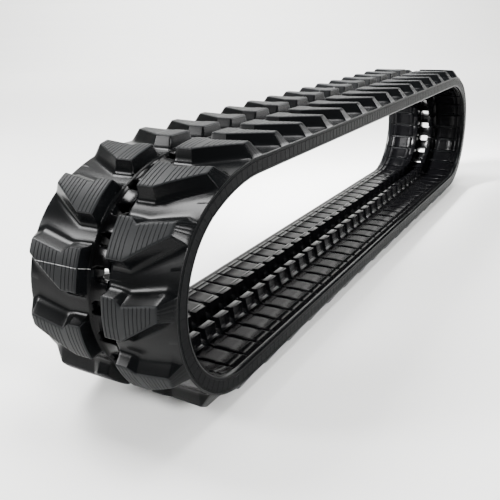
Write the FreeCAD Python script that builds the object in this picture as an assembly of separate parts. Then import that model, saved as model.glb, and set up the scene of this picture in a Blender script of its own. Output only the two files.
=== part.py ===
import FreeCAD
import Part
import math
import os

# Rubber crawler track, off the machine and standing on its bottom run.
# X runs along the track, Y across it, Z up. Millimetres.
# A place in the belt is (s, y, n): s is the length along the neutral cord line from the middle of
# the bottom run towards +X, round the rear bend, back over the top run and down the front bend,
# y is the way across, and n is the height out of the cord line (outward is positive).

# Driving dimensions
width = 300.0            # across the belt
pitch = 52.5             # from one steel core to the next along the cord line
links = 80               # steel cores round the loop
bend_radius = 176.0      # cord line, tight part of each end bend
bend_angle = 154.0       # degrees turned by the tight part
shoulder_radius = 347.0  # cord line, slack part between the bend and the top run
outer_skin = 16.0        # cord line to the tread side of the carcass
inner_skin = 16.0        # cord line to the roller side of the carcass
ply_half = 2.0           # half the thickness of the steel cord ply
lug_height = 25.0        # tread lug above the carcass
window_half_width = 16.0
bridge_length = 32.0     # rubber-covered bridge between two windows, along the track
edge_round = 3.0         # chamfer on the belt's outer corners
half_width = width / 2.0

# Tread lug outline at its top, u along s from the kink line, v from the belt's centre line
lug_in_margin = 10.0     # window edge to the lug's inner end
lug_root = 32.0          # inner end to the kink
lug_end_slope = 19.0     # slope of the lug's outer end, which reaches the belt's edge
lug_sweep = 40.0         # how far the outer end trails the kink
lug_out_length = 19.0
lug_overhang = 4.5       # inner end of the lug is this much longer than the pitch
lug_waist_step = 9.0     # trailing side steps in by this much past the root
lug_draft_front = 12.0
lug_draft_arm = 15.0
lug_draft_back = 11.0
lug_draft_in = 8.0
lug_tip_chamfer = 2.0
lug_in_v = window_half_width + lug_in_margin
lug_kink_v = lug_in_v + lug_root
lug_out_v = half_width - lug_end_slope
lug_in_length = pitch + lug_overhang
lug_waist = lug_in_length - lug_waist_step

# Guide lugs: a steel horn in a rubber cover, two rows
guide_height = 28.0
guide_window_margin = 2.5
guide_base_width = 20.5
guide_crest_width = 15.5
guide_crest_gap = 16.5   # between two guide lugs of a row, along a straight run
guide_flare = 2.0        # crest is longer than the foot by this much
cover_wall = 4.0
guide_in_v = window_half_width + guide_window_margin
guide_out_v = guide_in_v + guide_base_width
guide_top_in_v = guide_in_v + 2.0
guide_top_out_v = guide_top_in_v + guide_crest_width
guide_top_length = pitch - guide_crest_gap
guide_base_length = guide_top_length - guide_flare

# Forged core
wing_thick = 8.0
wing_cover = 4.0         # cord line to the wing's outer face
wing_root_half = 13.0
wing_tip_half = 9.0
wing_end_margin = 24.0   # wing tip to the belt's edge
saddle_rise = 8.0        # saddle between the windows, above the cord line
saddle_depth = 10.0      # and below it
saddle_half = 12.0
saddle_overlap = 4.0     # saddle reaches past the window edge into the bands
sleeve_wall = 3.5        # rubber round the saddle
wing_top = -wing_cover
wing_end_v = half_width - wing_end_margin
saddle_top = saddle_rise
saddle_bottom = -saddle_depth
saddle_end_v = window_half_width + saddle_overlap

# Roller pads on the inner side, with a trench between each two
pad_height = 1.0
pad_guide_margin = 19.0
pad_edge_margin = 14.0
pad_skew = 14.0          # the pad's inner end slants by this much
pad_gap = 12.0
trench_half = 3.5
trench_depth = 3.0
trench_guide_margin = 5.0
trench_edge_margin = 20.0
pad_in_v = guide_out_v + pad_guide_margin
pad_out_v = half_width - pad_edge_margin
trench_in_v = guide_out_v + trench_guide_margin
trench_out_v = half_width - trench_edge_margin

# Cord ply
ply_window_margin = 12.0
ply_edge_margin = 10.0
ply_in_v = window_half_width + ply_window_margin
ply_out_v = half_width - ply_edge_margin

# Fits
hinge_gap = 0.30         # gap at the cord line where two stretches of belt meet
hinge_open = 3.6         # degrees each side that the meeting faces lean back
open_joint_gap = 0.6     # each side of the open joint in the top run
base_height = outer_skin + lug_height

# Hinge lines, counted in pitches from the middle of the bottom run
stretches = [
    ("lower_run", -15, 15),
    ("rear_bend_low", 15, 18),
    ("rear_bend_mid", 18, 22),
    ("rear_bend_high", 22, 25),
    ("rear_top_run", 25, 40),
    ("front_top_run", -40, -25),
    ("front_bend_high", -25, -22),
    ("front_bend_mid", -22, -18),
    ("front_bend_low", -18, -15),
]
open_joint = 40

loop_length = pitch * links
turn = math.radians(bend_angle)
ease = math.pi - turn
bends = 2.0 * (bend_radius * turn + shoulder_radius * ease)
straights = (loop_length - bends) / 2.0
run_shift = (shoulder_radius - bend_radius) * math.sin(turn)
half_bottom = (straights + run_shift) / 2.0
half_top = (straights - run_shift) / 2.0
top_line = bend_radius * (1.0 - math.cos(turn)) + shoulder_radius * (1.0 + math.cos(turn))
s_bend = half_bottom
s_shoulder = s_bend + bend_radius * turn
s_top = s_shoulder + shoulder_radius * ease


def line_at(s):
    """Cord line point (x, z) and heading for 0 <= s <= half the loop."""
    if s <= s_bend:
        return s, 0.0, 0.0
    if s <= s_shoulder:
        a = (s - s_bend) / bend_radius
        return s_bend + bend_radius * math.sin(a), bend_radius * (1.0 - math.cos(a)), a
    x0 = s_bend + bend_radius * math.sin(turn)
    z0 = bend_radius * (1.0 - math.cos(turn))
    if s <= s_top:
        a = turn + (s - s_shoulder) / shoulder_radius
        x = x0 + shoulder_radius * (math.sin(a) - math.sin(turn))
        z = z0 + shoulder_radius * (math.cos(turn) - math.cos(a))
        return x, z, a
    return half_top - (s - s_top), top_line, math.pi


def at(s, n):
    """Point (x, z) at length s and height n out of the cord line."""
    x, z, a = line_at(abs(s))
    px = x + n * math.sin(a)
    pz = z - n * math.cos(a)
    if s < 0.0:
        px = -px
    return px, pz + base_height


def vec(s, n, y):
    px, pz = at(s, n)
    return FreeCAD.Vector(px, y, pz)


def local_frame(s):
    """Origin, tangent and outward normal at length s."""
    x, z, a = line_at(abs(s))
    side = 1.0 if s >= 0.0 else -1.0
    origin = FreeCAD.Vector(side * x, 0.0, z + base_height)
    tangent = FreeCAD.Vector(math.cos(a), 0.0, side * math.sin(a))
    normal = FreeCAD.Vector(side * math.sin(a), 0.0, -math.cos(a))
    return origin, tangent, normal


def breaks(s0, s1):
    marks = [s_bend, s_shoulder, s_top]
    marks = marks + [-m for m in marks]
    inside = [m for m in marks if s0 + 1e-6 < m < s1 - 1e-6]
    return [s0] + sorted(inside) + [s1]


def offset_edges(s0, s1, n):
    """Edges of the line at height n from s0 to s1."""
    marks = breaks(s0, s1)
    edges = []
    for a, b in zip(marks[:-1], marks[1:]):
        mid = (a + b) / 2.0
        p0 = vec(a, n, 0.0)
        p1 = vec(b, n, 0.0)
        size = abs(mid)
        if size < s_bend or size > s_top:
            edges.append(Part.makeLine(p0, p1))
        else:
            edges.append(Part.Arc(p0, vec(mid, n, 0.0), p1).toShape())
    return edges


def belt_block(s0, s1, n0, n1, y0, y1):
    """Length of belt between two heights and two widths."""
    low = offset_edges(s0, s1, n0)
    high = offset_edges(s0, s1, n1)
    start = Part.makeLine(vec(s0, n0, 0.0), vec(s0, n1, 0.0))
    end = Part.makeLine(vec(s1, n0, 0.0), vec(s1, n1, 0.0))
    wire = Part.Wire(Part.__sortEdges__(low + [end] + high + [start]))
    face = Part.Face(wire)
    face.translate(FreeCAD.Vector(0.0, y0, 0.0))
    return face.extrude(FreeCAD.Vector(0.0, y1 - y0, 0.0))


def prism_between(levels, frame, side):
    """Closed solid through outlines [(n, [(u, v), ...]), ...] with v measured towards one side."""
    origin, tangent, normal = frame
    across = FreeCAD.Vector(0.0, side, 0.0)
    rings = []
    for n, outline in levels:
        rings.append([origin + tangent * u + across * v + normal * n for u, v in outline])
    faces = []
    for ring in (rings[0], rings[-1]):
        faces.append(Part.Face(Part.makePolygon(ring + [ring[0]])))
    for low, high in zip(rings[:-1], rings[1:]):
        count = len(low)
        for i in range(count):
            j = (i + 1) % count
            corner = [low[i], low[j], high[j], high[i], low[i]]
            faces.append(Part.Face(Part.makePolygon(corner)))
    solid = Part.makeSolid(Part.makeShell(faces))
    if solid.Volume < 0.0:
        solid.reverse()
    return solid


def grow(outline, moves):
    """Outline with each side moved outward by its own amount; corners follow."""
    count = len(outline)
    area = 0.0
    for i in range(count):
        a = outline[i]
        b = outline[(i + 1) % count]
        area += a[0] * b[1] - b[0] * a[1]
    turn_way = 1.0 if area > 0.0 else -1.0
    lines = []
    for i in range(count):
        a = outline[i]
        b = outline[(i + 1) % count]
        du = b[0] - a[0]
        dv = b[1] - a[1]
        size = math.hypot(du, dv)
        nu = turn_way * dv / size
        nv = -turn_way * du / size
        lines.append((nu, nv, nu * a[0] + nv * a[1] + moves[i]))
    result = []
    for i in range(count):
        a1, b1, c1 = lines[i - 1]
        a2, b2, c2 = lines[i]
        det = a1 * b2 - a2 * b1
        result.append(((c1 * b2 - c2 * b1) / det, (a1 * c2 - a2 * c1) / det))
    return result


def lug_outline():
    return [
        (0.0, lug_in_v),
        (0.0, lug_kink_v),
        (-lug_sweep, lug_out_v),
        (-lug_sweep - lug_out_length, lug_out_v),
        (-lug_waist, lug_kink_v + 6.0),
        (-lug_in_length, lug_kink_v - 8.0),
        (-lug_in_length, lug_in_v),
    ]


def lug_moves(depth):
    """How far each side of the lug has spread at a depth under its top."""
    share = depth / lug_height
    end_draft = half_width - lug_out_v
    moves = [
        lug_draft_front,
        lug_draft_arm,
        end_draft,
        lug_draft_arm,
        lug_draft_back,
        lug_draft_back,
        lug_draft_in,
    ]
    return [m * share for m in moves]


def straight_part(s0, s1):
    low = min(abs(s0), abs(s1))
    high = max(abs(s0), abs(s1))
    return high <= s_bend or low >= s_top


def make_lug(k, side):
    """Tread lug with its kink over core k; the belt is curved under it in the bends."""
    kink = (k + 0.5) * pitch
    middle = kink - lug_in_length / 2.0
    top = outer_skin + lug_height
    outline = [(u + lug_in_length / 2.0, v) for u, v in lug_outline()]
    reach = lug_in_length / 2.0 + lug_sweep
    frame = local_frame(middle)
    if straight_part(middle - reach, middle + reach):
        tip = grow(outline, lug_moves(lug_tip_chamfer))
        crown = grow(tip, [-lug_tip_chamfer] * len(tip))
        levels = [
            (outer_skin, grow(outline, lug_moves(lug_height))),
            (top - lug_tip_chamfer, tip),
            (top, crown),
        ]
        return prism_between(levels, frame, side)
    sink = 12.0
    rise = 4.0
    levels = [
        (outer_skin - sink, grow(outline, lug_moves(lug_height + sink))),
        (top + rise, grow(outline, lug_moves(-rise))),
    ]
    block = prism_between(levels, frame, side)
    cell = belt_block(middle - 1.6 * reach, middle + 1.6 * reach, outer_skin, top, -half_width, half_width)
    return block.common(cell)


def guide_outline(length, inner, outer):
    return [(-length / 2.0, inner), (length / 2.0, inner), (length / 2.0, outer), (-length / 2.0, outer)]


def guide_levels(foot):
    """Rubber guide lug from its foot to its crest, a little longer at the crest."""
    crest = -inner_skin - guide_height
    shoulder = crest + 4.0
    base = guide_outline(guide_base_length, guide_in_v, guide_out_v)
    wide = guide_outline(guide_top_length, guide_top_in_v - 0.3, guide_top_out_v + 0.4)
    tip = guide_outline(guide_top_length - 3.0, guide_top_in_v + 1.2, guide_top_out_v - 1.5)
    return [(foot, base), (shoulder, wide), (crest, tip)]


def make_guide(core, side):
    return prism_between(guide_levels(-inner_skin), local_frame((core + 0.5) * pitch), side)


def horn_levels():
    crest = -inner_skin - guide_height + cover_wall
    base_n = wing_top - wing_thick
    base = guide_outline(guide_base_length - 2.0 * cover_wall, guide_in_v + cover_wall, guide_out_v - cover_wall)
    in_v = guide_top_in_v + cover_wall - 0.3
    out_v = guide_top_out_v - cover_wall + 0.4
    tip = guide_outline(guide_top_length - 2.0 * cover_wall, in_v, out_v)
    return [(base_n, base), (crest, tip)]


def make_core(core):
    """Forged bar: two wings, a thick saddle between the windows and two guide horns."""
    frame = local_frame((core + 0.5) * pitch)
    wing_bottom = wing_top - wing_thick
    parts = []
    saddle = [
        (-saddle_half, -saddle_end_v),
        (saddle_half, -saddle_end_v),
        (saddle_half, saddle_end_v),
        (-saddle_half, saddle_end_v),
    ]
    parts.append(prism_between([(saddle_bottom, saddle), (saddle_top, saddle)], frame, 1.0))
    for side in (-1.0, 1.0):
        root_v = window_half_width + 1.0
        wing = [
            (-wing_root_half, root_v),
            (wing_root_half, root_v),
            (wing_root_half, guide_out_v + 4.0),
            (wing_tip_half, wing_end_v),
            (-wing_tip_half, wing_end_v),
            (-wing_root_half, guide_out_v + 4.0),
        ]
        parts.append(prism_between([(wing_bottom, wing), (wing_top, wing)], frame, side))
        parts.append(prism_between(horn_levels(), frame, side))
    return parts[0].multiFuse(parts[1:]).removeSplitter()


def make_pad(core, side):
    """Slightly raised rubber roller pad over one wing, slanted at its inner end."""
    half = (pitch - pad_gap) / 2.0
    cut = half - 6.0
    outline = [
        (-half, pad_in_v),
        (half, pad_in_v + pad_skew),
        (half, pad_out_v - 5.0),
        (cut, pad_out_v),
        (-cut, pad_out_v),
        (-half, pad_out_v - 5.0),
    ]
    top = -inner_skin - pad_height
    tip = grow(outline, [-pad_height * 0.8] * len(outline))
    levels = [(-inner_skin + 4.0, outline), (-inner_skin, outline), (top, tip)]
    return prism_between(levels, local_frame((core + 0.5) * pitch), side)


def make_trench(k, side):
    """Cutter for the trench in the roller side between two pads, pointed at both ends."""
    outline = [
        (0.0, trench_in_v),
        (trench_half, trench_in_v + 4.0),
        (trench_half, trench_out_v - 8.0),
        (-trench_half, trench_out_v),
        (-trench_half, trench_in_v + 4.0),
    ]
    levels = [(-inner_skin + trench_depth, outline), (-inner_skin - 3.0, outline)]
    return prism_between(levels, local_frame(k * pitch), side)


def make_sleeve(core):
    """Rubber round the saddle, between two windows and between the two bands."""
    half = bridge_length / 2.0
    v = window_half_width
    outline = [(-half, -v), (half, -v), (half, v), (-half, v)]
    levels = [(saddle_bottom - sleeve_wall, outline), (saddle_top + sleeve_wall, outline)]
    return prism_between(levels, local_frame((core + 0.5) * pitch), 1.0)


def hinge_notch(k, gap, lean):
    """Bow-tie tool: narrow at the cord line and wider towards the tread and the rollers."""
    reach = inner_skin + guide_height + 10.0
    spread = reach * math.tan(math.radians(lean)) + gap / 2.0
    origin, tangent, normal = local_frame(k * pitch)
    origin = origin - FreeCAD.Vector(0.0, width, 0.0)
    points = [
        origin - tangent * spread - normal * reach,
        origin + tangent * spread - normal * reach,
        origin + tangent * (gap / 2.0),
        origin + tangent * spread + normal * reach,
        origin - tangent * spread + normal * reach,
        origin - tangent * (gap / 2.0),
    ]
    face = Part.Face(Part.makePolygon(points + [points[0]]))
    return face.extrude(FreeCAD.Vector(0.0, 2.0 * width, 0.0))


def half_space(k, keep_up):
    """Block on one side of hinge line k, long enough for a lug."""
    origin, tangent, normal = local_frame(k * pitch)
    way = 1.0 if keep_up else -1.0
    far = tangent * (way * 3.0 * pitch)
    side = FreeCAD.Vector(0.0, width, 0.0)
    reach = normal * 120.0
    corners = [origin - reach - side, origin + reach - side]
    corners = corners + [origin + reach - side + far, origin - reach - side + far]
    face = Part.Face(Part.makePolygon(corners + [corners[0]]))
    return face.extrude(side * 2.0)


def round_corner(block, s0, s1, n, y):
    """Chamfer the long corner of a belt block at height n and width y."""
    corners = [vec(m, n, y) for m in breaks(s0, s1)]
    edges = []
    for edge in block.Edges:
        ends = [v.Point for v in edge.Vertexes]
        hits = [any(p.distanceToPoint(c) < 1e-3 for c in corners) for p in ends]
        if all(hits) and abs(edge.CenterOfMass.y - y) < 1e-3:
            edges.append(edge)
    return block.makeChamfer(edge_round, edges)


def solids(shape):
    return [s for s in shape.Solids if s.Volume > 5.0]


def save(name, pieces):
    found = []
    for piece in pieces:
        found.extend(solids(piece))
    Part.makeCompound(found).exportStep("parts/" + name + ".step")


def lug_side(k):
    """Left lugs kink over the odd cores and right lugs over the even ones."""
    return 1.0 if k % 2 else -1.0


def build_stretch(name, k0, k1):
    s0 = k0 * pitch
    s1 = k1 * pitch
    cuts = []
    for k in (k0, k1):
        at_open = abs(k) == open_joint
        gap = 2.0 * open_joint_gap if at_open else hinge_gap
        lean = 0.0 if at_open else hinge_open
        cuts.append(hinge_notch(k, gap, lean))
    cores = [make_core(core) for core in range(k0, k1)]
    tread = []
    roller = []
    plies = []
    for side in (-1.0, 1.0):
        ya, yb = sorted((side * window_half_width, side * half_width))
        yc, yd = sorted((side * ply_in_v, side * ply_out_v))
        ply = belt_block(s0, s1, -ply_half, ply_half, yc, yd).cut(cuts)
        outer = belt_block(s0, s1, -ply_half, outer_skin, ya, yb)
        outer = round_corner(outer, s0, s1, outer_skin, side * half_width)
        outer = outer.cut(cuts + [ply] + cores)
        inner = belt_block(s0, s1, -inner_skin, -ply_half, ya, yb)
        inner = round_corner(inner, s0, s1, -inner_skin, side * half_width)
        pads = [make_pad(core, side) for core in range(k0, k1)]
        trenches = [make_trench(k, side) for k in range(k0, k1 + 1)]
        inner = inner.fuse(pads)
        inner = inner.cut(cuts + cores + trenches)
        plies.append(ply)
        tread.append(outer)
        roller.append(inner)
    guides = []
    for core in range(k0, k1):
        steel = cores[core - k0]
        for side, band in zip((-1.0, 1.0), roller):
            guides.append(make_guide(core, side).cut([steel, band]))
        guides.append(make_sleeve(core).cut(steel))
    lugs = []
    for k in range(k0 - 1, k1 + 2):
        if k < -links // 2 or k > links // 2:
            continue
        lug = make_lug(k, lug_side(k))
        if k <= k0 + 1:
            lug = lug.common(half_space(k0, True)).cut(cuts[0])
        if k >= k1 - 1:
            lug = lug.common(half_space(k1, False)).cut(cuts[1])
        lugs.append(lug)
    save(name + "_core_bars", cores)
    save(name + "_guide_rubber", guides)
    save(name + "_cord_plies", plies)
    save(name + "_tread_rubber", tread)
    save(name + "_roller_rubber", roller)
    save(name + "_tread_lugs", lugs)


os.makedirs("parts", exist_ok=True)
for stretch in stretches:
    build_stretch(*stretch)
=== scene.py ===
"""Rubber crawler track: moulded belt, guide lugs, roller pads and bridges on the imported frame."""
import math

import bmesh
import bpy
from mathutils import Matrix, Vector


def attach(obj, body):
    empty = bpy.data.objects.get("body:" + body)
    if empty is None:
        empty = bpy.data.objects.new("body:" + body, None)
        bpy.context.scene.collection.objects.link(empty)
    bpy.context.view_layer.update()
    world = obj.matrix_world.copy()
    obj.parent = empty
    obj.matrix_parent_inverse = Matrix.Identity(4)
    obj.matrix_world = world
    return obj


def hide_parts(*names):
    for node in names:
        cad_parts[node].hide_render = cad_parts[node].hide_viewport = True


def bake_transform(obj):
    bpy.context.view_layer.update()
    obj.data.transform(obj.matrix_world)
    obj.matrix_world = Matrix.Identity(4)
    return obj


bl_info = {
    "name": "Rubber crawler track",
    "version": (1, 0, 0),
    "blender": (4, 5, 0),
    "location": "3D View > Sidebar > Track",
    "description": "Builds a moulded rubber track round its steel cores",
    "category": "Add Mesh",
}

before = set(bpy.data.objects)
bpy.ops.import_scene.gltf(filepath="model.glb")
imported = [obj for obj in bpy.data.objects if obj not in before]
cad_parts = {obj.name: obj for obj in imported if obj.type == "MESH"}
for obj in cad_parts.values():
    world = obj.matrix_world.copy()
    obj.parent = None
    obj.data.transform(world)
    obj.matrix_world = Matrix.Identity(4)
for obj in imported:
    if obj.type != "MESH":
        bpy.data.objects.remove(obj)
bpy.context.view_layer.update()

MM = 0.001
PITCH = 52.5  # millimetres from one core to the next
LUG_LINKS = 2  # one tread lug each side for every two links
LUG_PITCH = LUG_LINKS * PITCH
UNIT_START = -1.5 * PITCH  # where a lug unit starts, from the core under its kink


# ---------------------------------------------------------------- settings

class LoopSizes(bpy.types.PropertyGroup):
    """Sizes of the loop along its cord line."""

    pitch: bpy.props.FloatProperty(
        name="Pitch", description="From one core to the next", default=PITCH * MM, unit="LENGTH", precision=4)
    links: bpy.props.IntProperty(name="Links", description="Steel cores round the loop", default=80)
    bend_radius: bpy.props.FloatProperty(
        name="Bend radius", description="Cord line in the tight end bend", default=176 * MM, unit="LENGTH")
    bend_turn: bpy.props.FloatProperty(
        name="Bend turn", description="Angle of the tight bend", default=math.radians(154), subtype="ANGLE")
    shoulder_radius: bpy.props.FloatProperty(
        name="Shoulder radius", description="Between bend and top run", default=347 * MM, unit="LENGTH")
    base_height: bpy.props.FloatProperty(
        name="Cord height", description="Cord line of the lower run", default=41 * MM, unit="LENGTH")


class BeltSizes(bpy.types.PropertyGroup):
    """Sizes across the belt and of its lugs."""

    half_width: bpy.props.FloatProperty(
        name="Half width", description="Centre line to the belt's edge", default=150 * MM, unit="LENGTH")
    window: bpy.props.FloatProperty(
        name="Window half width", description="Centre line to its side", default=16 * MM, unit="LENGTH")
    skin: bpy.props.FloatProperty(
        name="Half thickness", description="Cord line to either face", default=16 * MM, unit="LENGTH")
    lug_height: bpy.props.FloatProperty(
        name="Lug height", description="Tread lug above the belt", default=25 * MM, unit="LENGTH")
    lug_round: bpy.props.FloatProperty(
        name="Lug edge", description="Rounding of a lug's top edges", default=2.6 * MM, unit="LENGTH")
    lug_fillet: bpy.props.FloatProperty(
        name="Lug fillet", description="Rounding at a lug's foot", default=10 * MM, unit="LENGTH")
    guide_height: bpy.props.FloatProperty(
        name="Guide height", description="Guide lug above the roller side", default=28 * MM, unit="LENGTH")
    groove_step: bpy.props.FloatProperty(
        name="Groove step", description="Between the fine grooves on a lug", default=8 * MM, unit="LENGTH")


class FinishColours(bpy.types.PropertyGroup):
    """Colours as sRGB hex."""

    tread: bpy.props.StringProperty(name="Tread", description="Moulded tread rubber", default="#08090a")
    # Lug tops: a lighter grey painted on the tops as painted light, for the light that falls on them from
    # above
    painted_light_crown: bpy.props.StringProperty(name="Lug tops", description="Matt tops of the lugs", default="#1b1c1d")
    roller_side: bpy.props.StringProperty(name="Roller side", description="Inner rubber", default="#060607")
    forged: bpy.props.StringProperty(name="Core", description="Forged steel core", default="#6d6a66")
    cord: bpy.props.StringProperty(name="Cord", description="Brass-plated cord", default="#b59a5c")
    floor: bpy.props.StringProperty(name="Floor", description="Studio floor", default="#f4f4f2")


def linear(code):
    """sRGB hex to the linear colour that a shader takes."""
    parts = [int(code[i:i + 2], 16) / 255 for i in (1, 3, 5)]
    return [p / 12.92 if p <= 0.04045 else ((p + 0.055) / 1.055) ** 2.4 for p in parts] + [1.0]


def add(tree, kind, *values, **settings):
    """Adds a node: settings are its properties, values its inputs in order, as numbers or as other nodes."""
    node = tree.nodes.new(kind)
    for name, value in settings.items():
        setattr(node, name, value)
    sockets = [s for s in node.inputs if s.enabled]
    for socket, value in zip(sockets, values):
        if isinstance(value, bpy.types.Node):
            value = [s for s in value.outputs if s.enabled][0]
        if isinstance(value, bpy.types.NodeSocket):
            tree.links.new(value, socket)
        elif value is not None:
            socket.default_value = value
    return node


# ---------------------------------------------------------------- loop

def loop_numbers():
    """Where the bends start, worked out from the sizes so that the loop closes."""
    z = bpy.context.scene.track_loop
    ease = math.pi - z.bend_turn
    straight = (z.pitch * z.links - 2 * (z.bend_radius * z.bend_turn + z.shoulder_radius * ease)) / 2
    shift = (z.shoulder_radius - z.bend_radius) * math.sin(z.bend_turn)
    bend = (straight + shift) / 2
    shoulder = bend + z.bend_radius * z.bend_turn
    return {
        "Bend start": bend,
        "Shoulder start": shoulder,
        "Top start": shoulder + z.shoulder_radius * ease,
        "Bend radius": z.bend_radius,
        "Shoulder radius": z.shoulder_radius,
        "Bend turn": z.bend_turn,
        "Shoulder turn": ease,
        "Cord height": z.base_height,
    }


def loop_point(s, n=0.0):
    """The same rule as the node group, for one place at a time."""
    k = loop_numbers()
    a = abs(s)
    one = min(max((a - k["Bend start"]) / k["Bend radius"], 0), k["Bend turn"])
    two = min(max((a - k["Shoulder start"]) / k["Shoulder radius"], 0), k["Shoulder turn"])
    turn = k["Bend turn"]
    x = min(a, k["Bend start"]) + k["Bend radius"] * math.sin(one)
    x += k["Shoulder radius"] * (math.sin(turn + two) - math.sin(turn)) - max(a - k["Top start"], 0)
    z = k["Bend radius"] * (1 - math.cos(one))
    z += k["Shoulder radius"] * (math.cos(turn) - math.cos(turn + two))
    x += n * math.sin(one + two)
    z -= n * math.cos(one + two)
    return Vector((math.copysign(x, s), 0.0, z + k["Cord height"]))


def loop_group():
    """Node group: a place laid out flat, with x along the belt and z inward, to its place on the loop."""
    found = bpy.data.node_groups.get("Belt round the loop")
    if found:
        return found
    tree = bpy.data.node_groups.new("Belt round the loop", "GeometryNodeTree")
    face = tree.interface
    face.new_socket("Flat place", in_out="INPUT", socket_type="NodeSocketVector")
    for name in loop_numbers():
        face.new_socket(name, in_out="INPUT", socket_type="NodeSocketFloat")
    face.new_socket("Place", in_out="OUTPUT", socket_type="NodeSocketVector")
    face.new_socket("Heading", in_out="OUTPUT", socket_type="NodeSocketFloat")
    given = add(tree, "NodeGroupInput").outputs
    out = add(tree, "NodeGroupOutput")
    flat = add(tree, "ShaderNodeSeparateXYZ", given["Flat place"]).outputs
    side = add(tree, "ShaderNodeMath", flat["X"], operation="SIGN")
    run = add(tree, "ShaderNodeMath", flat["X"], operation="ABSOLUTE")

    past_bend = add(tree, "ShaderNodeMath", run, given["Bend start"], operation="SUBTRACT")
    one = add(tree, "ShaderNodeMath", past_bend, given["Bend radius"], operation="DIVIDE")
    one = add(tree, "ShaderNodeMath", one, 0.0, operation="MAXIMUM")
    one = add(tree, "ShaderNodeMath", one, given["Bend turn"], operation="MINIMUM")
    past_shoulder = add(tree, "ShaderNodeMath", run, given["Shoulder start"], operation="SUBTRACT")
    two = add(tree, "ShaderNodeMath", past_shoulder, given["Shoulder radius"], operation="DIVIDE")
    two = add(tree, "ShaderNodeMath", two, 0.0, operation="MAXIMUM")
    two = add(tree, "ShaderNodeMath", two, given["Shoulder turn"], operation="MINIMUM")
    heading = add(tree, "ShaderNodeMath", one, two, operation="ADD")
    total = add(tree, "ShaderNodeMath", given["Bend turn"], two, operation="ADD")

    # Along x: lower run, then both arcs, less what the top run has come back.
    x = add(tree, "ShaderNodeMath", run, given["Bend start"], operation="MINIMUM")
    sine = add(tree, "ShaderNodeMath", one, operation="SINE")
    x = add(tree, "ShaderNodeMath", sine, given["Bend radius"], x, operation="MULTIPLY_ADD")
    sine_total = add(tree, "ShaderNodeMath", total, operation="SINE")
    sine_turn = add(tree, "ShaderNodeMath", given["Bend turn"], operation="SINE")
    gain = add(tree, "ShaderNodeMath", sine_total, sine_turn, operation="SUBTRACT")
    x = add(tree, "ShaderNodeMath", gain, given["Shoulder radius"], x, operation="MULTIPLY_ADD")
    back = add(tree, "ShaderNodeMath", run, given["Top start"], operation="SUBTRACT")
    back = add(tree, "ShaderNodeMath", back, 0.0, operation="MAXIMUM")
    x = add(tree, "ShaderNodeMath", x, back, operation="SUBTRACT")

    # Up z: both arcs.
    cosine = add(tree, "ShaderNodeMath", one, operation="COSINE")
    rise = add(tree, "ShaderNodeMath", 1.0, cosine, operation="SUBTRACT")
    base = given["Cord height"]
    z = add(tree, "ShaderNodeMath", rise, given["Bend radius"], base, operation="MULTIPLY_ADD")
    cos_turn = add(tree, "ShaderNodeMath", given["Bend turn"], operation="COSINE")
    cos_total = add(tree, "ShaderNodeMath", total, operation="COSINE")
    more = add(tree, "ShaderNodeMath", cos_turn, cos_total, operation="SUBTRACT")
    z = add(tree, "ShaderNodeMath", more, given["Shoulder radius"], z, operation="MULTIPLY_ADD")

    # Off the cord line, along the inward normal.
    sine = add(tree, "ShaderNodeMath", heading, operation="SINE")
    cosine = add(tree, "ShaderNodeMath", heading, operation="COSINE")
    outward = add(tree, "ShaderNodeMath", flat["Z"], -1.0, operation="MULTIPLY")
    x = add(tree, "ShaderNodeMath", sine, outward, x, operation="MULTIPLY_ADD")
    x = add(tree, "ShaderNodeMath", x, side, operation="MULTIPLY")
    z = add(tree, "ShaderNodeMath", cosine, flat["Z"], z, operation="MULTIPLY_ADD")
    place = add(tree, "ShaderNodeCombineXYZ", x, flat["Y"], z)
    turned = add(tree, "ShaderNodeMath", heading, side, operation="MULTIPLY")
    tree.links.new(place.outputs[0], out.inputs["Place"])
    tree.links.new(turned.outputs[0], out.inputs["Heading"])
    return tree


def start_tree(name, extra):
    """A geometry tree with the loop's sizes and some of its own as named inputs."""
    tree = bpy.data.node_groups.new(name, "GeometryNodeTree")
    face = tree.interface
    face.new_socket("Geometry", in_out="INPUT", socket_type="NodeSocketGeometry")
    for label, kind in extra:
        face.new_socket(label, in_out="INPUT", socket_type="NodeSocket" + kind)
    for label in loop_numbers():
        face.new_socket(label, in_out="INPUT", socket_type="NodeSocketFloat")
    face.new_socket("Geometry", in_out="OUTPUT", socket_type="NodeSocketGeometry")
    return tree, add(tree, "NodeGroupInput").outputs, add(tree, "NodeGroupOutput")


def belt_tree():
    """Lug units end to end, welded into one strip and bent round the loop."""
    found = bpy.data.node_groups.get("Belt strip")
    if found:
        return found
    extra = [("First place", "Float"), ("Units", "Int"), ("Unit length", "Float"), ("Material", "Material")]
    tree, given, out = start_tree("Belt strip", extra)
    first = add(tree, "ShaderNodeCombineXYZ", given["First place"])
    step = add(tree, "ShaderNodeCombineXYZ", given["Unit length"])
    line = add(tree, "GeometryNodeMeshLine", given["Units"], first, step)
    copies = add(tree, "GeometryNodeInstanceOnPoints", line, None, given["Geometry"])
    strip = add(tree, "GeometryNodeRealizeInstances", copies)
    strip = add(tree, "GeometryNodeMergeByDistance", strip, None, 0.02 * MM)
    where = add(tree, "GeometryNodeInputPosition")
    bent = add(tree, "GeometryNodeGroup", node_tree=loop_group())
    tree.links.new(where.outputs[0], bent.inputs["Flat place"])
    for label in loop_numbers():
        tree.links.new(given[label], bent.inputs[label])
    strip = add(tree, "GeometryNodeSetPosition", strip, None, bent.outputs["Place"])
    strip = add(tree, "GeometryNodeSetMaterial", strip, None, given["Material"])
    tree.links.new(strip.outputs[0], out.inputs[0])
    return tree


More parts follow.
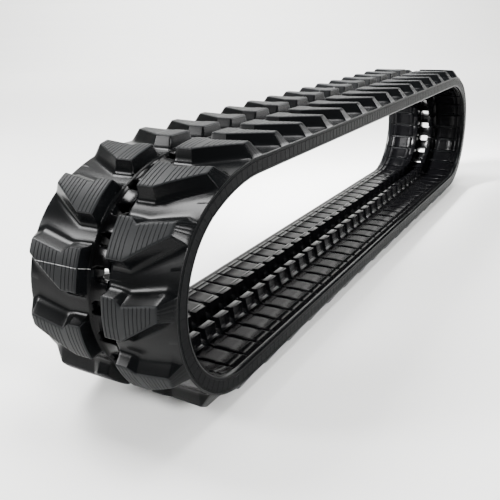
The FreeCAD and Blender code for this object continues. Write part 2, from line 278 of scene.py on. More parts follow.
def core_tree():
    """One stiff piece over each core, square to the loop there."""
    found = bpy.data.node_groups.get("Piece at each core")
    if found:
        return found
    extra = [("First place", "Float"), ("Cores", "Int"), ("Pitch", "Float"), ("Material", "Material")]
    tree, given, out = start_tree("Piece at each core", extra)
    first = add(tree, "ShaderNodeCombineXYZ", given["First place"])
    step = add(tree, "ShaderNodeCombineXYZ", given["Pitch"])
    line = add(tree, "GeometryNodeMeshLine", given["Cores"], first, step)
    where = add(tree, "GeometryNodeInputPosition")
    bent = add(tree, "GeometryNodeGroup", node_tree=loop_group())
    tree.links.new(where.outputs[0], bent.inputs["Flat place"])
    for label in loop_numbers():
        tree.links.new(given[label], bent.inputs[label])
    lean = add(tree, "ShaderNodeMath", bent.outputs["Heading"], -1.0, operation="MULTIPLY")
    kept = add(tree, "GeometryNodeStoreNamedAttribute", line, None, "lean", lean,
               data_type="FLOAT", domain="POINT")
    moved = add(tree, "GeometryNodeSetPosition", kept, None, bent.outputs["Place"])
    read = add(tree, "GeometryNodeInputNamedAttribute", "lean", data_type="FLOAT")
    turn = add(tree, "ShaderNodeCombineXYZ", 0.0, read, 0.0)
    copies = add(tree, "GeometryNodeInstanceOnPoints", moved, None, given["Geometry"], None, None, turn)
    real = add(tree, "GeometryNodeRealizeInstances", copies)
    real = add(tree, "GeometryNodeSetMaterial", real, None, given["Material"])
    tree.links.new(real.outputs[0], out.inputs[0])
    return tree


def run_tree(name, mesh, tree, values, material):
    """Gives the mesh to the tree and keeps the result as a plain mesh object at the origin."""
    holder = bpy.data.objects.new(name + "_unit", mesh)
    bpy.context.scene.collection.objects.link(holder)
    modifier = holder.modifiers.new("Layout", "NODES")
    modifier.node_group = tree
    given = dict(loop_numbers())
    given.update(values)
    given["Material"] = material
    for item in tree.interface.items_tree:
        if item.in_out == "INPUT" and item.name in given:
            modifier[item.identifier] = given[item.name]
    bpy.context.view_layer.update()
    shown = holder.evaluated_get(bpy.context.evaluated_depsgraph_get())
    result = bpy.data.meshes.new_from_object(shown)
    holder.modifiers.remove(modifier)
    bpy.data.objects.remove(holder)
    piece = bpy.data.objects.new(name, result)
    bpy.context.scene.collection.objects.link(piece)
    if "lean" in result.attributes:
        result.attributes.remove(result.attributes["lean"])
    return piece


def close_and_smooth(piece, angle=32.0):
    """Caps open ends, turns faces outward, and shades soft edges smooth."""
    shape = bmesh.new()
    shape.from_mesh(piece.data)
    open_edges = [e for e in shape.edges if e.is_boundary]
    if open_edges:
        caps = bmesh.ops.holes_fill(shape, edges=open_edges, sides=0)["faces"]
        bmesh.ops.triangulate(shape, faces=caps)
    bmesh.ops.recalc_face_normals(shape, faces=shape.faces)
    limit = math.radians(angle)
    for face in shape.faces:
        face.smooth = True
    for edge in shape.edges:
        if len(edge.link_faces) == 2:
            edge.smooth = edge.calc_face_angle(0.0) < limit
    shape.to_mesh(piece.data)
    shape.free()
    return piece


# ---------------------------------------------------------------- belt unit

def corner(a, b, c, reach, steps=3):
    """Points that round the corner b of the line a, b, c."""
    back = (a - b)
    on = (c - b)
    start = b + back.normalized() * min(reach, back.length * 0.45)
    end = b + on.normalized() * min(reach, on.length * 0.45)
    points = []
    for i in range(steps + 1):
        t = i / steps
        points.append(start * (1 - t) ** 2 + b * 2 * t * (1 - t) + end * t * t)
    return points


# Lug plan in millimetres: (v from the centre line, u along the belt from the kink).
TOP_FRONT = [(18.0, 7.0), (26.0, 0.0), (58.0, 0.0), (131.0, -40.0), (150.0, -38.0)]
TOP_BACK = [(18.0, -64.0), (26.0, -57.0), (50.0, -57.0), (64.0, -48.0), (131.0, -59.0), (150.0, -71.0)]
FOOT_FRONT = [(18.0, 9.0), (61.5, 9.0), (131.0, -26.0), (150.0, -36.5)]
FOOT_BACK = [(18.0, -66.0), (67.0, -64.0), (131.0, -76.0), (150.0, -73.0)]
# How far out the foot of the leading wall lies, for each line across the top.
FRONT_FEET = [(16.0, 16.0), (50.0, 51.0), (58.0, 61.5), (64.0, 67.0), (90.0, 91.5), (131.0, 131.0),
              (150.0, 150.0)]
SLOPE_V = 131.0  # where the lug's top ends and its outer slope starts
RIDGE_HEIGHT = 0.6
GROOVE_DEPTH = 1.2
GROOVE_HALF = 0.9
CURL_V = 23.0  # the tread starts to curl towards the window here
CURL_DEPTH = 4.5
LUG_END_FOOT = 7.0  # window's side to the foot of the lug's inner end
LUG_END_TOP = 10.0  # and to its top


def along(table, v):
    """Straight-line reading of a table of pairs."""
    v = min(max(v, table[0][0]), table[-1][0])
    for (a, x), (b, y) in zip(table[:-1], table[1:]):
        if v <= b:
            return x + (y - x) * (v - a) / (b - a)
    return table[-1][1]


def tread_line(v, height, groove, sizes):
    """One line of the tread across a lug, from valley to valley: (u, v, rise) in millimetres."""
    front_v = along(FRONT_FEET, v)
    b1 = Vector((along(TOP_BACK, v), v, height))
    f1 = Vector((along(TOP_FRONT, v), v, height))
    b0 = Vector((min(along(FOOT_BACK, v), b1.x - 0.8), v, 0.0))
    f0 = Vector((max(along(FOOT_FRONT, front_v), f1.x + 0.8), front_v, 0.0))
    valley = (along(FOOT_BACK, v) + along(FOOT_FRONT, v) - LUG_PITCH) / 2
    start = Vector((valley, v, 0.0))
    end = Vector((valley + LUG_PITCH, v, 0.0))
    fillet = sizes.lug_fillet / MM
    edge = sizes.lug_round / MM
    foot = corner(start, b0, b1, fillet, 4)
    toe = corner(f1, f0, end, fillet, 4)
    line = [start.lerp(foot[0], i / 3) for i in range(3)] + foot + corner(b0, b1, f1, edge)
    tail = corner(b1, f1, f0, edge)
    inner_a, inner_b = line[-1], tail[0]
    line += [inner_a.lerp(inner_b, i / 12) for i in range(1, 12)]
    # ridges run down the lug's outer slope, each on one column of points
    if v > SLOPE_V + 1.0:
        for i in (-10, -7, -4, -2):
            line[i].z += RIDGE_HEIGHT
    line += tail + toe + [toe[-1].lerp(end, (i + 1) / 3) for i in range(3)]
    # grooves cross the lug's top and walls, not the valleys
    for i in range(10, len(line) - 10):
        line[i].z += groove
    # the tread curls down into the windows
    curl = CURL_DEPTH * (max(0.0, CURL_V - v) / 6.6) ** 2
    for point in line:
        point.z -= curl
    return line


def tread_rows(sizes):
    """Where the tread lines lie: distance from the centre line, lug height there, and groove depth."""
    full = sizes.lug_height / MM
    edge = sizes.lug_round / MM
    inner = sizes.window / MM
    outer = sizes.half_width / MM
    path = [Vector((inner + 0.4, 0, 0)), Vector((inner + LUG_END_FOOT, 0, 0)),
            Vector((inner + LUG_END_TOP, 0, full)), Vector((SLOPE_V, 0, full)), Vector((outer - 0.6, 0, 0.4))]
    rows = [(path[0].x, 0.0, 0.0)]
    for i in (1, 2, 3):
        for point in corner(path[i - 1], path[i], path[i + 1], edge):
            rows.append((point.x, point.z, 0.0))
    for i in range(4):
        point = path[3].lerp(path[4], 0.2 + 0.2 * i)
        rows.append((point.x, point.z, 0.0))
    rows.append((path[4].x, path[4].z, 0.0))
    # one row at each bend of the lug's plan
    kinks = (50.0, 58.0, 61.5, 64.0, 67.0)
    rows += [(v, full, 0.0) for v in kinks]
    step = sizes.groove_step / MM
    v = inner + LUG_END_TOP + step * 0.75
    while v < SLOPE_V - 3.0:
        for dv, depth in ((-GROOVE_HALF, 0.0), (0.0, -GROOVE_DEPTH), (GROOVE_HALF, 0.0)):
            if min(abs(v + dv - k) for k in kinks) > 0.6:
                rows.append((v + dv, full, depth))
        v += step
    return sorted(rows, key=lambda r: (round(r[0], 3), r[1]))


def shell(verts, faces, rings, side):
    """Adds a closed solid through rings of (u, v, n) to a unit's lists."""
    first = len(verts)
    count = len(rings[0])
    for ring in rings:
        verts += [(u * MM, v * side * MM, -n * MM) for u, v, n in ring]
    for r in range(len(rings) - 1):
        low = first + r * count
        for i in range(count):
            j = (i + 1) % count
            faces.append((low + i, low + j, low + count + j, low + count + i))
    faces.append(tuple(range(first + count - 1, first - 1, -1)))
    last = first + (len(rings) - 1) * count
    faces.append(tuple(range(last, last + count)))


def belt_unit(side, sizes):
    """One lug length of one band of the belt, open at both ends: tread, edge, roller side and window side."""
    skin = sizes.skin / MM
    outer = sizes.half_width / MM
    inner = sizes.window / MM
    lines = []
    for v, height, groove in tread_rows(sizes):
        lines.append([(p.x, p.y, skin + p.z) for p in tread_line(v, height, groove, sizes)])
    count = len(lines[0])
    outer_us = [p[0] for p in lines[-1]]
    inner_us = [p[0] for p in lines[0]]
    even = [UNIT_START + LUG_PITCH * i / (count - 1) for i in range(count)]

    def wrap(points, us_from, us_to):
        """Adds lines round the belt's section, sliding from one spacing of columns to another."""
        for i, (v, n) in enumerate(points):
            t = (i + 1) / len(points)
            lines.append([(a + (b - a) * t, v, n) for a, b in zip(us_from, us_to)])

    # (v, n) down the outer edge, with two moulded beads and a rounded corner
    edge_side = [(outer, skin - 0.9), (outer, 13.4), (outer + 0.7, 12.8), (outer, 12.2), (outer, 9.6),
                 (outer + 0.7, 9.0), (outer, 8.4), (outer, -9.0), (outer + 0.5, -9.5), (outer, -10.0),
                 (outer, -skin + 4.0), (outer - 1.1, -skin + 1.3), (outer - 4.0, -skin)]
    wrap(edge_side, outer_us, even)
    # then inward over the roller side, which is sunk between the pads
    roller_side = [(141.5, -skin), (140.7, -skin - 0.7), (139.9, -skin), (137.5, -skin + 0.3),
                   (136.0, -skin + 4.0), (90.0, -skin + 4.0), (44.0, -skin + 4.0), (42.5, -skin),
                   (inner + 2.5, -skin), (inner + 0.7, -skin + 0.7), (inner, -skin + 2.5)]
    wrap(roller_side, even, even)
    wrap([(inner, 0.0), (inner, skin - 6.0)], even, inner_us)
    verts = [(u * MM, v * side * MM, -n * MM) for line in lines for u, v, n in line]
    faces = []
    rows_total = len(lines)
    for r in range(rows_total):
        q = (r + 1) % rows_total
        for c in range(count - 1):
            faces.append((r * count + c, r * count + c + 1, q * count + c + 1, q * count + c))
    # fine ribs across the edge, three to a link
    rib_section = ((0.6, -0.8), (0.2, 0.3), (-0.2, 0.3), (-0.6, -0.8))
    for i in range(3 * LUG_LINKS):
        u = UNIT_START + 8.75 + PITCH / 3 * i
        shell(verts, faces, [[(u - w, outer + dv, n) for w, dv in rib_section] for n in (-8.6, 8.0)], side)
    mesh = bpy.data.meshes.new("belt_unit")
    mesh.from_pydata(verts, [], faces)
    mesh.update()
    # tops of the lugs: rougher, and painted lighter as painted light from above
    rough_and_painted_light = mesh.attributes.new("matt_top_painted_light", "FLOAT", "POINT")
    painted_light_crown = skin + sizes.lug_height / MM - 1.5
    rough_and_painted_light.data.foreach_set("value", [float(-z / MM > painted_light_crown) for x, y, z in verts])
    dull = mesh.attributes.new("dull_side", "FLOAT", "POINT")
    dull.data.foreach_set("value", [float(is_dull(abs(y) / MM, -z / MM, sizes)) for x, y, z in verts])
    return mesh


def is_dull(v, n, sizes):
    """The belt's trimmed edge and the lugs' inner ends lack the moulded shine."""
    inner = sizes.window / MM
    on_edge = v > sizes.half_width / MM - 0.2 and n < 12.5
    on_end = inner + 6.0 < v < inner + 9.4 and n > sizes.skin / MM + 3.0
    return on_edge or on_end


# Where two moulds met: a fin of rubber across the tread, as (millimetres along the loop, side).
MOULD_JOINTS = [(-1108.0, 1), (-1100.0, -1)]
FIN_HEIGHT = 0.22
FIN_HALF = 0.4
FIN_STEP = 1.12  # across the belt, from 20 mm off the centre line
FIN_STEPS = 116


def mould_fin(band, unit, side, first, count):
    """Adds the mould joint's fin to a band that it crosses, following the tread's skin."""
    start = (first + 0.5) * PITCH + UNIT_START
    end = start + LUG_PITCH * count
    skin = bpy.data.objects.new("skin", unit)
    bpy.context.scene.collection.objects.link(skin)
    bpy.context.view_layer.update()
    shape = bmesh.new()
    shape.from_mesh(band.data)
    for s, way in MOULD_JOINTS:
        if way != side or not start < s < end:
            continue
        u = (s - start) % LUG_PITCH + UNIT_START
        rings = []
        for i in range(FIN_STEPS):
            v = 20.0 + FIN_STEP * i
            hit, point = skin.ray_cast(Vector((u * MM, v * side * MM, -0.2)), Vector((0.0, 0.0, 1.0)))[:2]
            if hit:
                n = -point.z / MM
                section = ((-FIN_HALF, -FIN_HALF), (0.0, FIN_HEIGHT), (FIN_HALF, -FIN_HALF))
                rings.append([loop_point((s + du) * MM, (n + dn) * MM) + Vector((0.0, v * side * MM, 0.0))
                              for du, dn in section])
        rows = [[shape.verts.new(p) for p in ring] for ring in rings]
        for low, high in zip(rows[:-1], rows[1:]):
            for i in range(3):
                shape.faces.new((low[i], low[(i + 1) % 3], high[(i + 1) % 3], high[i]))
        shape.faces.new(rows[0])
        shape.faces.new(rows[-1])
    shape.to_mesh(band.data)
    shape.free()
    bpy.data.objects.remove(skin)


# Pad plan: (v, leading u, trailing u, rise); the gap to the next pad is a deep slot that bends to a point.
PAD_PLAN = [(43.5, 15.0, -17.0, -1.6), (46.0, 19.5, -21.0, 0.0), (52.0, 24.4, -22.0, 0.0),
            (58.0, 25.0, -24.0, 0.0), (60.5, 23.6, -24.8, -0.6), (63.5, 21.8, -24.0, 0.0),
            (66.0, 21.6, -22.6, 0.0), (90.0, 21.8, -22.6, 0.0), (112.0, 22.2, -22.8, 0.0),
            (113.0, 22.2, -22.8, 0.9), (114.4, 22.3, -22.9, 0.9), (115.4, 22.4, -23.0, 0.0),
            (122.0, 23.4, -23.4, 0.0), (125.6, 24.4, -23.8, 0.0), (126.6, 24.6, -24.0, 0.9),
            (128.0, 25.0, -24.4, 0.9), (129.0, 25.2, -24.6, 0.0), (134.0, 25.8, -25.6, 0.0),
            (137.0, 25.2, -25.0, -1.6)]


def pad_unit(side, sizes):
    """Roller pad over one core: a flat brick with a lobe at its inner end and soft edges."""
    base = -sizes.skin / MM + 5.5
    top = -sizes.skin / MM - 1.0
    rings = []
    for v, u1, u0, rise in PAD_PLAN:
        face = top - rise
        section = [(u0, base), (u0, face + 2.6), (u0 + 0.4, face + 1.2), (u0 + 1.4, face + 0.3)]
        section += [(u0 + 3.0 + (u1 - u0 - 6.0) * j / 5, face) for j in range(6)]
        section += [(u1 - 1.4, face + 0.3), (u1 - 0.4, face + 1.2), (u1, face + 2.6), (u1, base)]
        section += [(u1 + (u0 - u1) * j / 7, base) for j in range(1, 7)]
        rings.append([(u, v, n) for u, n in section])
    verts, faces = [], []
    shell(verts, faces, rings, side)
    mesh = bpy.data.meshes.new("pad_unit")
    mesh.from_pydata(verts, [], faces)
    mesh.update()
    return mesh


# ---------------------------------------------------------------- stiff pieces

def loft(levels):
    """Closed solid through outlines of the same length, in millimetres, as (u, v, n)."""
    shape = bmesh.new()
    rings = [[shape.verts.new((u * MM, v * MM, -n * MM)) for u, v, n in ring] for ring in levels]
    count = len(rings[0])
    for low, high in zip(rings[:-1], rings[1:]):
        for i in range(count):
            j = (i + 1) % count
            shape.faces.new((low[i], low[j], high[j], high[i]))
    shape.faces.new(rings[0][::-1])
    shape.faces.new(rings[-1])
    bmesh.ops.recalc_face_normals(shape, faces=shape.faces)
    return shape


def finish_unit(shape, name, bevel, segments=2):
    """Rounds a unit's edges and makes its mesh."""
    edges = [e for e in shape.edges if len(e.link_faces) == 2 and e.calc_face_angle(0.0) > math.radians(25)]
    bmesh.ops.bevel(shape, geom=edges, offset=bevel * MM, segments=segments, profile=0.6,
                    affect="EDGES", clamp_overlap=True)
    bmesh.ops.recalc_face_normals(shape, faces=shape.faces)
    mesh = bpy.data.meshes.new(name)
    shape.to_mesh(mesh)
    shape.free()
    return mesh


def guide_unit(side, sizes):
    """Rubber guide lug on a spread foot, with a sunk panel outside and two fine lines on its crest."""
    skin = sizes.skin / MM
    crest = skin + sizes.guide_height / MM
    levels = []
    for n, half, v0, v1 in ((-skin + 3.0, 20.4, 18.4, 43.6), (-skin - 0.6, 20.0, 18.6, 43.2),
                            (-skin - 2.2, 18.2, 19.0, 41.0), (-skin - 4.4, 17.2, 19.2, 39.4),
                            (-crest, 18.1, 20.4, 36.2)):
        ring = [(-half, v0, n), (half, v0, n), (half, v1, n), (-half, v1, n)]
        levels.append([(u, v * side, n) for u, v, n in ring])
    shape = loft(levels)
    face = max((f for f in shape.faces if f.calc_center_median().z > (skin + 8.0) * MM),
               key=lambda f: f.normal.y * side)
    bmesh.ops.inset_region(shape, faces=[face], thickness=2.2 * MM, depth=0.0)
    bmesh.ops.inset_region(shape, faces=[face], thickness=2.0 * MM, depth=-2.8 * MM)
    mesh = finish_unit(shape, "guide_unit", 1.3)
    verts, faces = [], []
    line_section = ((-0.8, 0.5), (-0.3, -0.6), (0.3, -0.6), (0.8, 0.5))
    for v in (32.6, 30.2):
        rings = [[(u, v + dv, -crest + dn) for dv, dn in line_section] for u in (-15.4, 15.4)]
        shell(verts, faces, rings, side)
    lines = bpy.data.meshes.new("crest_lines")
    lines.from_pydata(verts, [], faces)
    both = bmesh.new()
    both.from_mesh(mesh)
    both.from_mesh(lines)
    both.to_mesh(mesh)
    both.free()
    bpy.data.meshes.remove(lines)
    return mesh


def bridge_unit(side, sizes):
    """Rubber-covered saddle between two windows, spreading into the bands at both ends."""
    reach = sizes.window / MM
    levels = []
    for v, half, top, low in ((-reach - 1.5, 22.6, 14.6, -14.6), (-reach + 0.6, 19.8, 13.8, -14.2),
                              (-reach + 3.0, 17.4, 13.0, -13.7), (-reach + 6.0, 16.2, 12.5, -13.5),
                              (0.0, 16.0, 12.2, -13.5)):
        ring = [(-half, top - 3.4), (-half + 1.0, top - 1.0), (-half + 3.6, top),
                (half - 3.6, top), (half - 1.0, top - 1.0), (half, top - 3.4),
                (half - 0.4, low + 3.4), (half - 1.4, low + 1.0), (half - 4.0, low),
                (-half + 4.0, low), (-half + 1.4, low + 1.0), (-half + 0.4, low + 3.4)]
        levels.append([(u, v, n) for u, n in ring])
    levels += [[(u, -v, n) for u, v, n in ring] for ring in levels[-2::-1]]
    shape = loft(levels)
    mesh = bpy.data.meshes.new("bridge_unit")
    shape.to_mesh(mesh)
    shape.free()
    return mesh


# ---------------------------------------------------------------- materials

def moulded_rubber(name, code, rough, grain_mm, bump, level=0.08):
    """Black vulcanised rubber. The mould leaves a satin skin with fine grain and cloudy sheen,
    a little smoother where release agent pooled, so gloss varies over a few centimetres."""
    material = bpy.data.materials.new(name)
    material.use_nodes = True
    tree = material.node_tree
    shader = tree.nodes["Principled BSDF"]
    place = add(tree, "ShaderNodeTexCoord").outputs["Object"]
    cloud = add(tree, "ShaderNodeTexNoise", place, None, 1 / (60 * MM), 3.0, 0.6)
    grain = add(tree, "ShaderNodeTexNoise", place, None, 1 / (grain_mm * MM), 2.0, 0.5)
    dark = [c * 0.72 for c in linear(code)[:3]] + [1.0]
    tone = add(tree, "ShaderNodeMix", cloud.outputs[0], data_type="RGBA")
    tone.inputs["A"].default_value = dark
    tone.inputs["B"].default_value = linear(code)
    gloss = add(tree, "ShaderNodeMapRange", cloud.outputs[0], 0.3, 0.7, rough - 0.07, rough + 0.08)
    # the blasted tops of the lugs are rougher than the polished walls; they are also painted a lighter grey,
    # which is painted light standing in for the top light that falls on them
    rough_and_painted_light = add(tree, "ShaderNodeAttribute", attribute_name="matt_top_painted_light").outputs["Fac"]
    painted_light_top_tone = add(tree, "ShaderNodeMix", rough_and_painted_light, data_type="RGBA")
    tree.links.new(tone.outputs["Result"], painted_light_top_tone.inputs["A"])
    painted_light_top_tone.inputs["B"].default_value = linear(bpy.context.scene.track_finish.painted_light_crown)
    tree.links.new(painted_light_top_tone.outputs["Result"], shader.inputs["Base Color"])
    haze = add(tree, "ShaderNodeMath", rough_and_painted_light, 0.22, gloss, operation="MULTIPLY_ADD")
    tree.links.new(haze.outputs[0], shader.inputs["Roughness"])
    relief = add(tree, "ShaderNodeBump")
    relief.inputs["Strength"].default_value = bump
    relief.inputs["Distance"].default_value = 0.3 * MM
    tree.links.new(grain.outputs[0], relief.inputs["Height"])
    tree.links.new(relief.outputs[0], shader.inputs["Normal"])
    # trimmed edges and the lugs' inner ends lack the moulded shine
    dull = add(tree, "ShaderNodeAttribute", attribute_name="dull_side").outputs["Fac"]
    shine = add(tree, "ShaderNodeMapRange", dull, 0.0, 1.0, level, 0.02)
    tree.links.new(shine.outputs[0], shader.inputs["Specular IOR Level"])
    return material


def forged_steel(code):
    """Forged alloy steel as it leaves the die: dark scale, dull and slightly pitted."""
    material = bpy.data.materials.new("Forged steel with scale")
    material.use_nodes = True
    tree = material.node_tree
    shader = tree.nodes["Principled BSDF"]
    place = add(tree, "ShaderNodeTexCoord").outputs["Object"]
    scale = add(tree, "ShaderNodeTexNoise", place, None, 1 / (6 * MM), 4.0, 0.6)
    tone = add(tree, "ShaderNodeMix", scale.outputs[0], data_type="RGBA")
    tone.inputs["A"].default_value = linear("#3a3734")
    tone.inputs["B"].default_value = linear(code)
    tree.links.new(tone.outputs["Result"], shader.inputs["Base Color"])
    shader.inputs["Metallic"].default_value = 0.85
    shader.inputs["Roughness"].default_value = 0.6
    relief = add(tree, "ShaderNodeBump")
    relief.inputs["Strength"].default_value = 0.4
    relief.inputs["Distance"].default_value = 0.2 * MM
    tree.links.new(scale.outputs[0], relief.inputs["Height"])
    tree.links.new(relief.outputs[0], shader.inputs["Normal"])
    return material


def plated_cord(code):
    """Brass-plated steel cord, lying side by side across the ply; drawn 4 mm apart so that it shows."""
    material = bpy.data.materials.new("Brass-plated steel cord ply")
    material.use_nodes = True
    tree = material.node_tree
    shader = tree.nodes["Principled BSDF"]
    place = add(tree, "ShaderNodeTexCoord").outputs["Object"]
    lines = add(tree, "ShaderNodeTexWave", place, 1 / (4 * MM) / 6.2832 * 2, bands_direction="Y")
    tone = add(tree, "ShaderNodeMix", lines.outputs[0], data_type="RGBA")
    tone.inputs["A"].default_value = linear("#2a2622")
    tone.inputs["B"].default_value = linear(code)
    tree.links.new(tone.outputs["Result"], shader.inputs["Base Color"])
    shader.inputs["Metallic"].default_value = 0.9
    shader.inputs["Roughness"].default_value = 0.35
    return material


def material_named(name, make, *settings):
    """The material of that name, made on first use."""
    return bpy.data.materials.get(name) or make(*settings)


def tread_rubber():
    """The tread and the belt's edge: grain from a blasted mould."""
    c = bpy.context.scene.track_finish
    name = "Moulded tread rubber"
    return material_named(name, moulded_rubber, name, c.tread, 0.25, 1.6, 0.4)


def roller_rubber():
    """Guide lugs and bridges: a polished mould leaves them smooth."""
    c = bpy.context.scene.track_finish
    name = "Smooth moulded roller-side rubber"
    return material_named(name, moulded_rubber, name, c.roller_side, 0.2, 1.6, 0.15)


def pad_rubber():
    """The pads that the rollers run on: scuffed, so duller than the guides."""
    c = bpy.context.scene.track_finish
    name = "Scuffed roller pad rubber"
    return material_named(name, moulded_rubber, name, c.roller_side, 0.26, 1.6, 0.2, 0.035)


# ---------------------------------------------------------------- operators

# Bodies by first and last hinge place in links, and the two bodies that meet at each hinge.
STRETCHES = [("lower_run", -15, 15), ("rear_bend_low", 15, 18), ("rear_bend_mid", 18, 22),
             ("rear_bend_high", 22, 25), ("rear_top_run", 25, 40), ("front_top_run", -40, -25),
             ("front_bend_high", -25, -22), ("front_bend_mid", -22, -18), ("front_bend_low", -18, -15)]
HINGES = {15: ("lower_run", "rear_bend_low"), 18: ("rear_bend_low", "rear_bend_mid"),
          22: ("rear_bend_mid", "rear_bend_high"), 25: ("rear_bend_high", "rear_top_run"),
          -15: ("lower_run", "front_bend_low"), -18: ("front_bend_low", "front_bend_mid"),
          -22: ("front_bend_mid", "front_bend_high"), -25: ("front_bend_high", "front_top_run")}
# Strips of each band: first lug, last lug, and the body they ride on or the hinge they bend over.
LEFT = [(-13, 13, "lower_run"), (15, 15, 15), (17, 19, 18), (21, 23, 22), (25, 25, 25),
        (27, 39, "rear_top_run"), (-15, -15, -15), (-19, -17, -18), (-23, -21, -22), (-25, -25, -25),
        (-39, -27, "front_top_run")]
RIGHT = [(-12, 12, "lower_run"), (14, 16, 15), (18, 18, 18), (20, 20, "rear_bend_mid"), (22, 22, 22),
         (24, 26, 25), (28, 40, "rear_top_run"), (-16, -14, -15), (-18, -18, -18),
         (-20, -20, "front_bend_mid"), (-22, -22, -22), (-26, -24, -25), (-38, -28, "front_top_run")]


def lay_strip(piece, rides, pitch):
    """Lets a strip ride one body; a strip over a hinge rides no body and only has its transform baked in.
    Gives the body whose nodes it stands for.
    """
    if isinstance(rides, str):
        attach(piece, rides)
        return rides
    way = 1 if rides > 0 else -1
    a, b = HINGES[rides]
    loop_point((rides - way) * pitch)
    loop_point((rides + way) * pitch)
    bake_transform(piece)
    return b


class TRACK_OT_bands(bpy.types.Operator):
    """Moulds the left and right bands of the belt with their tread lugs and roller pads"""

    bl_idname = "track.bands"
    bl_label = "Belt bands"

    def execute(self, context):
        sizes = context.scene.track_belt
        pitch = context.scene.track_loop.pitch
        for label, side, strips in (("left", 1, LEFT), ("right", -1, RIGHT)):
            unit = belt_unit(side, sizes)
            pad = pad_unit(side, sizes)
            for first, last, rides in strips:
                count = (last - first) // LUG_LINKS + 1
                place = f"{first:+03d}".replace("+", "p").replace("-", "m")
                lug_pitch = LUG_LINKS * pitch
                values = {"First place": (first + 0.5) * pitch, "Units": count, "Unit length": lug_pitch}
                band = run_tree(f"{label}_band_{place}", unit, belt_tree(), values, tread_rubber())
                mould_fin(band, unit, side, first, count)
                close_and_smooth(band)
                body = lay_strip(band, rides, pitch)
                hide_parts(f"{body}_tread_lugs", f"{body}_tread_rubber")
                values = {"First place": (first - 0.5) * pitch, "Units": LUG_LINKS * count,
                          "Unit length": pitch}
                pads = run_tree(f"{label}_roller_pads_{place}", pad, belt_tree(), values, pad_rubber())
                close_and_smooth(pads, 50.0)
                body = lay_strip(pads, rides, pitch)
                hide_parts(f"{body}_roller_rubber")
            bpy.data.meshes.remove(unit)
            bpy.data.meshes.remove(pad)
        return {"FINISHED"}


class TRACK_OT_core_pieces(bpy.types.Operator):
    """Lays the guide lugs and bridges over the cores"""

    bl_idname = "track.core_pieces"
    bl_label = "Guide lugs and bridges"

    def execute(self, context):
        sizes = context.scene.track_belt
        pitch = context.scene.track_loop.pitch
        kinds = [("guide_lugs", guide_unit, (1, -1)), ("bridges", bridge_unit, (1,))]
        for label, make, sides in kinds:
            for side in sides:
                unit = make(side, sizes)
                ending = "" if len(sides) == 1 else ("_left" if side > 0 else "_right")
                for body, k0, k1 in STRETCHES:
                    name = f"{body}_{label}{ending}"
                    values = {"First place": (k0 + 0.5) * pitch, "Cores": k1 - k0, "Pitch": pitch}
                    piece = run_tree(name, unit, core_tree(), values, roller_rubber())
                    close_and_smooth(piece, 40.0)
                    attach(piece, body)
                    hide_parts(f"{body}_guide_rubber")
                bpy.data.meshes.remove(unit)
        return {"FINISHED"}


class TRACK_OT_cores(bpy.types.Operator):
    """Gives the steel cores and cord plies their finish"""

    bl_idname = "track.cores"
    bl_label = "Cores and cords"

    def execute(self, context):
        c = context.scene.track_finish
        steel = forged_steel(c.forged)
        cord = plated_cord(c.cord)
        for name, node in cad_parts.items():
            for ending, material in (("_core_bars", steel), ("_cord_plies", cord)):
                if name.endswith(ending):
                    node.data.materials.clear()
                    node.data.materials.append(material)
        return {"FINISHED"}


FLOOR_REACH = 60.0
WALL_START = 7.0  # metres behind the track, where the floor starts to sweep up
SWEEP_RADIUS = 3.0
WALL_TOP = 14.0
# Lamps in metres, watts and degrees: name, place, aim, size, power, spread.
LAMPS = [("key_softbox", (-0.4, 2.1, 3.3), (0.0, 0.0, 0.2), 1.3, 240.0, 170.0),
         ("rim_softbox", (-3.1, 2.8, 2.0), (-0.6, 0.0, 0.2), 0.9, 190.0, 170.0),
         ("top_softbox", (0.4, -0.2, 3.6), (0.0, 0.0, 0.2), 1.3, 140.0, 170.0),
         ("front_softbox", (-1.5, -3.2, 1.5), (-0.7, 0.0, 0.3), 0.8, 20.0, 60.0),
         ("right_softbox", (3.2, -2.0, 1.5), (0.0, 0.0, 0.4), 1.2, 15.0, 60.0),
         ("inside_softbox", (-0.47, 1.02, 1.26), (0.9, 0.1, 0.12), 0.4, 30.0, 60.0),
         ("backdrop_light", (4.3, 3.2, 6.5), (8.2, 5.2, 0.5), 4.0, 1500.0, 170.0)]
CAMERA_PLACE = (-1.6518, -0.6741, 0.6531)
CAMERA_YAW = 1.0480  # radians from +Y towards +X
CAMERA_PITCH = 0.3501  # down
CAMERA_ROLL = -0.02718
CAMERA_LENS = 46.65  # millimetres, on a 36 mm sensor


def sweep_mesh():
    """Floor that sweeps up into a backdrop behind the track."""
    angles = [math.radians(7.5 * i) for i in range(1, 13)]
    line = [(-FLOOR_REACH, 0.0), (WALL_START, 0.0)]
    line += [(WALL_START + SWEEP_RADIUS * math.sin(a), SWEEP_RADIUS * (1 - math.cos(a))) for a in angles]
    line += [(WALL_START + SWEEP_RADIUS, WALL_TOP)]
    # the backdrop faces 60 degrees round from +Y
    ends = (-FLOOR_REACH, FLOOR_REACH)
    verts = [(0.866 * d + 0.5 * w, 0.5 * d - 0.866 * w, z) for d, z in line for w in ends]
    faces = [(2 * i + 1, 2 * i + 3, 2 * i + 2, 2 * i) for i in range(len(line) - 1)]
    mesh = bpy.data.meshes.new("studio_floor")
    mesh.from_pydata(verts, [], faces)
    return mesh


def studio_paint(code):
    """Matt paint on the floor: nearly even, with very faint rolled clouds."""
    material = bpy.data.materials.new("Matt studio floor")
    material.use_nodes = True
    tree = material.node_tree
    shader = tree.nodes["Principled BSDF"]
    place = add(tree, "ShaderNodeTexCoord").outputs["Object"]
    cloud = add(tree, "ShaderNodeTexNoise", place, None, 1.5, 2.0, 0.5)
    tone = add(tree, "ShaderNodeMix", cloud.outputs[0], data_type="RGBA")
    tone.inputs["A"].default_value = [x * 0.985 for x in linear(code)[:3]] + [1.0]
    tone.inputs["B"].default_value = linear(code)
    tree.links.new(tone.outputs["Result"], shader.inputs["Base Color"])
    shader.inputs["Roughness"].default_value = 0.9
    return material


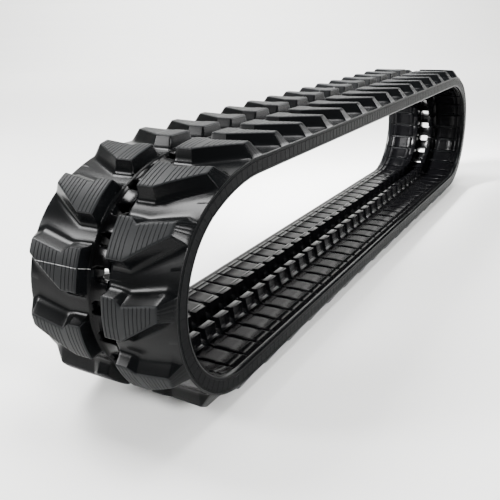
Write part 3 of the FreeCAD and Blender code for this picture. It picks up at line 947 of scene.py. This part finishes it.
def soft_lamp(name, place, aim, size, power, spread):
    """Square area lamp, turned to its aim."""
    light = bpy.data.lights.new(name, "AREA")
    light.energy = power
    light.size = size
    light.spread = math.radians(spread)
    lamp = bpy.data.objects.new(name, light)
    lamp.location = place
    lamp.rotation_euler = (Vector(aim) - Vector(place)).to_track_quat("-Z", "Y").to_euler()
    return lamp


def product_camera():
    """Camera near the front bend, looking along the loop and down."""
    yaw, pitch, roll = CAMERA_YAW, CAMERA_PITCH, CAMERA_ROLL
    forward = Vector((math.sin(yaw) * math.cos(pitch), math.cos(yaw) * math.cos(pitch), -math.sin(pitch)))
    right = Vector((math.cos(yaw), -math.sin(yaw), 0.0))
    up = right.cross(forward)
    x_axis = right * math.cos(roll) + up * math.sin(roll)
    y_axis = up * math.cos(roll) - right * math.sin(roll)
    turn = Matrix((x_axis, y_axis, -forward)).transposed().to_4x4()
    lens = bpy.data.cameras.new("product_camera")
    lens.lens = CAMERA_LENS
    lens.sensor_width = 36.0
    lens.clip_start = 0.05
    camera = bpy.data.objects.new("product_camera", lens)
    camera.matrix_world = Matrix.Translation(CAMERA_PLACE) @ turn
    return camera


class TRACK_OT_stage(bpy.types.Operator):
    """Sets the pale floor, the soft lights and the camera"""

    bl_idname = "track.stage"
    bl_label = "Stage"

    def execute(self, context):
        c = context.scene.track_finish
        floor = bpy.data.objects.new("studio_floor", sweep_mesh())
        context.scene.collection.objects.link(floor)
        floor.data.materials.append(studio_paint(c.floor))
        world = bpy.data.worlds.new("Soft studio")
        context.scene.world = world
        world.use_nodes = True
        world.node_tree.nodes["Background"].inputs["Color"].default_value = (1.0, 1.0, 1.0, 1.0)
        world.node_tree.nodes["Background"].inputs["Strength"].default_value = 0.24
        for lamp in [soft_lamp(*row) for row in LAMPS]:
            context.scene.collection.objects.link(lamp)
        camera = product_camera()
        context.scene.collection.objects.link(camera)
        context.scene.camera = camera
        return {"FINISHED"}


class TRACK_PT_panel(bpy.types.Panel):
    """Sizes, colours and steps of the track"""

    bl_idname = "TRACK_PT_panel"
    bl_label = "Rubber track"
    bl_space_type = "VIEW_3D"
    bl_region_type = "UI"
    bl_category = "Track"

    def draw(self, context):
        scene = context.scene
        for group in (scene.track_loop, scene.track_belt, scene.track_finish):
            box = self.layout.box()
            for name in group.bl_rna.properties.keys():
                if name not in ("rna_type", "name"):
                    box.prop(group, name)
        for operator in OPERATORS:
            self.layout.operator(operator.bl_idname)


GROUPS = (LoopSizes, BeltSizes, FinishColours)
OPERATORS = (TRACK_OT_bands, TRACK_OT_core_pieces, TRACK_OT_cores, TRACK_OT_stage)


def register():
    for cls in GROUPS + OPERATORS + (TRACK_PT_panel,):
        bpy.utils.register_class(cls)
    bpy.types.Scene.track_loop = bpy.props.PointerProperty(type=LoopSizes)
    bpy.types.Scene.track_belt = bpy.props.PointerProperty(type=BeltSizes)
    bpy.types.Scene.track_finish = bpy.props.PointerProperty(type=FinishColours)


def unregister():
    del bpy.types.Scene.track_finish
    del bpy.types.Scene.track_belt
    del bpy.types.Scene.track_loop
    for cls in reversed(GROUPS + OPERATORS + (TRACK_PT_panel,)):
        bpy.utils.unregister_class(cls)


def main():
    register()
    bpy.ops.track.bands()
    bpy.ops.track.core_pieces()
    bpy.ops.track.cores()
    bpy.ops.track.stage()


if __name__ == "__main__":
    main()
